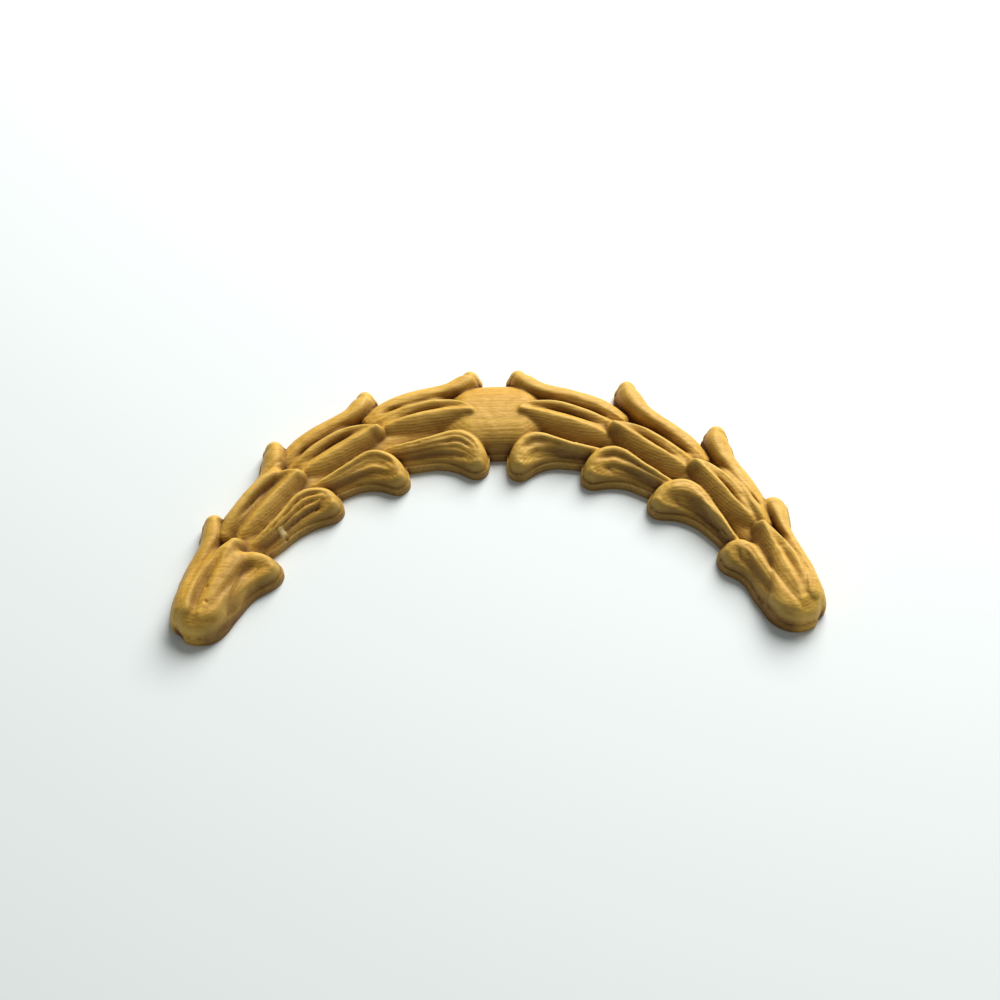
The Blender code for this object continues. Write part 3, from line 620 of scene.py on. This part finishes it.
def golden_wood(look):
    """Golden stained wood: grain along the width, fine flecks, painted shade darkening the grooves and the
    sides that slope towards the inside of the arc, and paler crests, partly rubbed wear and partly a painted
    highlight.
    """
    wood = Finish("golden_wood")
    place = wood.add("TexCoord", out="Object")
    drift = wood.noise(place, DRIFT_CELLS, detail=2.0)
    clouds = wood.noise(place, CLOUD_CELLS, detail=3.0)
    streaks = wood.noise(place, STREAK_CELLS, detail=3.0, roughness=0.6)
    flecks = wood.noise(place, FLECK_CELLS, detail=4.0, roughness=0.7)
    blotches = wood.noise(place, BLOTCH_CELLS, detail=3.0)
    layer = (wood.axis(place, "Y") * RING_TILT + wood.axis(place, "Z")) * (2 * math.pi / look.ring_pitch)
    rings = (layer + drift * RING_DRIFT).sine() * 0.5 + 0.5

    hollow = wood.attribute("hollow")
    # Painted shade: places that lie below the places round them are darkened, in patches from the blotch
    # noise
    groove_shade = hollow.between(*HOLLOW_RANGE) * (GROOVE_SHADE_LEAST + blotches * GROOVE_SHADE_SPREAD)
    # Painted shade: the sides that slope down towards the inside of the arc are darkened by their slope
    flank_shade = wood.attribute("inner_side").between(*FLANK_SHADE_RANGE)
    # Paler crests where the face stands above the places round it: partly rubbed wear, partly a painted
    # highlight
    worn_highlight = (-hollow).between(*WORN_HIGHLIGHT_RANGE)
    coats = (
        (rings * RING_DEPTH + streaks.between(*STREAK_RANGE) * STREAK_DEPTH, look.grain_colour),
        (flecks.between(*DARK_FLECKS) * look.fleck_depth, look.grain_colour),
        ((1 - flecks).between(*PALE_FLECKS) * look.fleck_depth, look.worn_and_highlight_colour),
        (groove_shade * look.groove_shade_depth, look.painted_shade_colour),
        (flank_shade * look.flank_shade_depth, look.painted_shade_colour),
        (worn_highlight * WORN_HIGHLIGHT_DEPTH, look.worn_and_highlight_colour),
        (wood.attribute("pale"), look.bare_colour),
    )
    colour = wood.mix(clouds.between(*CLOUD_RANGE), look.wood_colour, look.light_colour)
    for share, coat in coats:
        colour = wood.mix(share, colour, coat)

    relief = streaks * STREAK_BUMP + rings * RING_BUMP + blotches * BLOTCH_BUMP - flecks * FLECK_BUMP
    fine = wood.add("Bump", {}, {"Height": relief, "Strength": BUMP_STRENGTH, "Distance": BUMP_HEIGHT * MM})
    roughness = ROUGHNESS + streaks * STREAK_ROUGHNESS + groove_shade * GROOVE_ROUGHNESS
    wood.feed(wood.shader, {"Base Color": colour, "Roughness": roughness, "Normal": fine,
                            "Specular IOR Level": SPECULAR})
    return wood.material


class GarlandLook(bpy.types.PropertyGroup):
    """Sizes and colours of the ornament."""
    step: bpy.props.FloatProperty(name="Mesh Step", description="Spacing of the carved face's points",
                                  default=0.27 * MM, min=0.1 * MM, unit="LENGTH")
    ring_pitch: bpy.props.FloatProperty(name="Ring Pitch", description="Distance between growth rings",
                                        default=0.5 * MM, unit="LENGTH")
    wood_colour: bpy.props.FloatVectorProperty(name="Wood", description="Main colour of the stained wood",
                                               size=4, subtype="COLOR", default=linear(217, 164, 58))
    light_colour: bpy.props.FloatVectorProperty(name="Pale Wood", description="Paler clouds in the wood",
                                                size=4, subtype="COLOR", default=linear(231, 184, 80))
    grain_colour: bpy.props.FloatVectorProperty(name="Grain", description="Dark streaks of the grain",
                                                size=4, subtype="COLOR", default=linear(160, 109, 34))
    # Colour of the painted shade in the grooves and on the sides that slope towards the inside of the arc
    painted_shade_colour: bpy.props.FloatVectorProperty(name="Grooves", description="Stain gathered in the grooves",
                                                 size=4, subtype="COLOR", default=linear(90, 52, 18))
    # Colour of the pale flecks and of the paler crests, which are partly rubbed wear and partly a painted
    # highlight
    worn_and_highlight_colour: bpy.props.FloatVectorProperty(name="Worn Edges", description="Rubbed crests",
                                               size=4, subtype="COLOR", default=linear(236, 198, 98))
    bare_colour: bpy.props.FloatVectorProperty(name="Bare Wood", description="Wood laid bare by small chips",
                                               size=4, subtype="COLOR", default=linear(246, 218, 150))
    fleck_depth: bpy.props.FloatProperty(name="Fleck Depth", description="How strong the fine flecks are",
                                         default=0.5, min=0.0, max=1.0, subtype="FACTOR")
    # How dark the painted shade on the sides that face the inside of the arc gets
    flank_shade_depth: bpy.props.FloatProperty(name="Flank Depth", description="How dark the steep low sides are",
                                         default=0.7, min=0.0, max=1.0, subtype="FACTOR")
    # How dark the painted shade in the grooves gets
    groove_shade_depth: bpy.props.FloatProperty(name="Stain Depth", description="How dark the grooves are",
                                         default=0.9, min=0.0, max=1.0, subtype="FACTOR")


class StageLook(bpy.types.PropertyGroup):
    """The floor, the lights and the camera."""
    floor_size: bpy.props.FloatProperty(name="Floor", description="Width of the pale floor",
                                        default=4.0, unit="LENGTH")
    floor_colour: bpy.props.FloatVectorProperty(name="Floor Colour", description="Colour of the floor",
                                                size=4, subtype="COLOR", default=linear(236, 241, 239))
    key_place: bpy.props.FloatVectorProperty(name="Key Place", description="Where the main light hangs",
                                             default=(0.30, 0.60, 0.60), subtype="TRANSLATION")
    key_size: bpy.props.FloatProperty(name="Key Size", description="Width of the main light",
                                      default=0.6, unit="LENGTH")
    key_power: bpy.props.FloatProperty(name="Key Light", description="Power of the main light",
                                       default=12.6, unit="POWER")
    fill: bpy.props.FloatProperty(name="Fill", description="Strength of the light from all around",
                                  default=0.2)
    fill_colour: bpy.props.FloatVectorProperty(name="Fill Colour", description="Colour of that light",
                                               size=4, subtype="COLOR", default=(0.95, 1.0, 1.0, 1.0))
    elevation: bpy.props.FloatProperty(name="Camera Elevation", description="How far the camera looks down",
                                       default=math.radians(56.0), subtype="ANGLE")
    roll: bpy.props.FloatProperty(name="Camera Roll", description="Turn of the camera about its view",
                                  default=math.radians(-1.71), subtype="ANGLE")
    distance: bpy.props.FloatProperty(name="Camera Distance", description="From the camera to its target",
                                      default=0.3669, unit="LENGTH")
    target: bpy.props.FloatVectorProperty(name="Target", description="What the camera is aimed at",
                                          default=(0.00125, 0.00095, 0.0), subtype="TRANSLATION")
    lens: bpy.props.FloatProperty(name="Lens", description="Focal length", default=54.0)


class MakeGarland(bpy.types.Operator):
    """Carve the half wreath of husks and finish it in golden wood"""
    bl_idname = "garland.carve"
    bl_label = "Carve Garland"

    def execute(self, context):
        look = context.scene.garland_look
        mesh = carved_face("garland_relief", look.step / MM)
        close_below(mesh)
        garland = bpy.data.objects.new("garland_relief", mesh)
        context.scene.collection.objects.link(garland)
        mesh.materials.append(golden_wood(look))
        mesh.shade_smooth()
        mesh.set_sharp_from_angle(angle=math.radians(SHARP_ANGLE))
        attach(garland, "root")
        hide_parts(NODE)
        return {"FINISHED"}


class MakeStage(bpy.types.Operator):
    """Lay the pale floor, hang the lights and set the camera"""
    bl_idname = "garland.stage"
    bl_label = "Set Stage"

    def execute(self, context):
        look = context.scene.stage_look
        scene = context.scene
        floor_mesh = bpy.data.meshes.new("floor")
        half = look.floor_size / 2
        corners = [(-half, -half, 0), (half, -half, 0), (half, half, 0), (-half, half, 0)]
        floor_mesh.from_pydata(corners, [], [(0, 1, 2, 3)])
        floor = bpy.data.objects.new("floor", floor_mesh)
        floor.location.z = -FLOOR_DROP * MM
        scene.collection.objects.link(floor)
        paper = Finish("pale_floor")
        paper.feed(paper.shader, {"Base Color": look.floor_colour[:], "Roughness": FLOOR_ROUGHNESS})
        floor_mesh.materials.append(paper.material)

        lamp = bpy.data.lights.new("key", "AREA")
        lamp.size = look.key_size
        lamp.energy = look.key_power
        key = bpy.data.objects.new("key", lamp)
        key.location = look.key_place
        key.rotation_euler = (-key.location).to_track_quat("-Z", "Y").to_euler()
        scene.collection.objects.link(key)
        world = bpy.data.worlds.new("soft_light")
        world.use_nodes = True
        background = world.node_tree.nodes["Background"]
        background.inputs["Color"].default_value = look.fill_colour
        background.inputs["Strength"].default_value = look.fill
        scene.world = world
        scene.view_settings.view_transform = "Standard"

        view = Vector((0, math.cos(look.elevation), -math.sin(look.elevation)))
        right = Vector((1, 0, 0))
        turn = Matrix((right, right.cross(view), -view)).transposed().to_4x4()
        lens = bpy.data.cameras.new("camera")
        lens.lens = look.lens
        camera = bpy.data.objects.new("camera", lens)
        place = Vector(look.target) - view * look.distance
        camera.matrix_world = Matrix.Translation(place) @ turn @ Matrix.Rotation(look.roll, 4, "Z")
        scene.collection.objects.link(camera)
        scene.camera = camera
        return {"FINISHED"}


class GarlandPanel(bpy.types.Panel):
    """The ornament's buttons and settings"""
    bl_idname = "VIEW3D_PT_garland"
    bl_label = "Husk Garland"
    bl_space_type = "VIEW_3D"
    bl_region_type = "UI"
    bl_category = "Garland"

    def draw(self, context):
        for group in (context.scene.garland_look, context.scene.stage_look):
            for name in group.__annotations__:
                self.layout.prop(group, name)
        for operator in OPERATORS:
            self.layout.operator(operator.bl_idname)


OPERATORS = (MakeGarland, MakeStage)
CLASSES = (GarlandLook, StageLook) + OPERATORS + (GarlandPanel,)


def register():
    for item in CLASSES:
        bpy.utils.register_class(item)
    bpy.types.Scene.garland_look = bpy.props.PointerProperty(type=GarlandLook)
    bpy.types.Scene.stage_look = bpy.props.PointerProperty(type=StageLook)


def unregister():
    del bpy.types.Scene.stage_look
    del bpy.types.Scene.garland_look
    for item in reversed(CLASSES):
        bpy.utils.unregister_class(item)


def main():
    register()
    bpy.ops.garland.carve()
    bpy.ops.garland.stage()


if __name__ == "__main__":
    main()
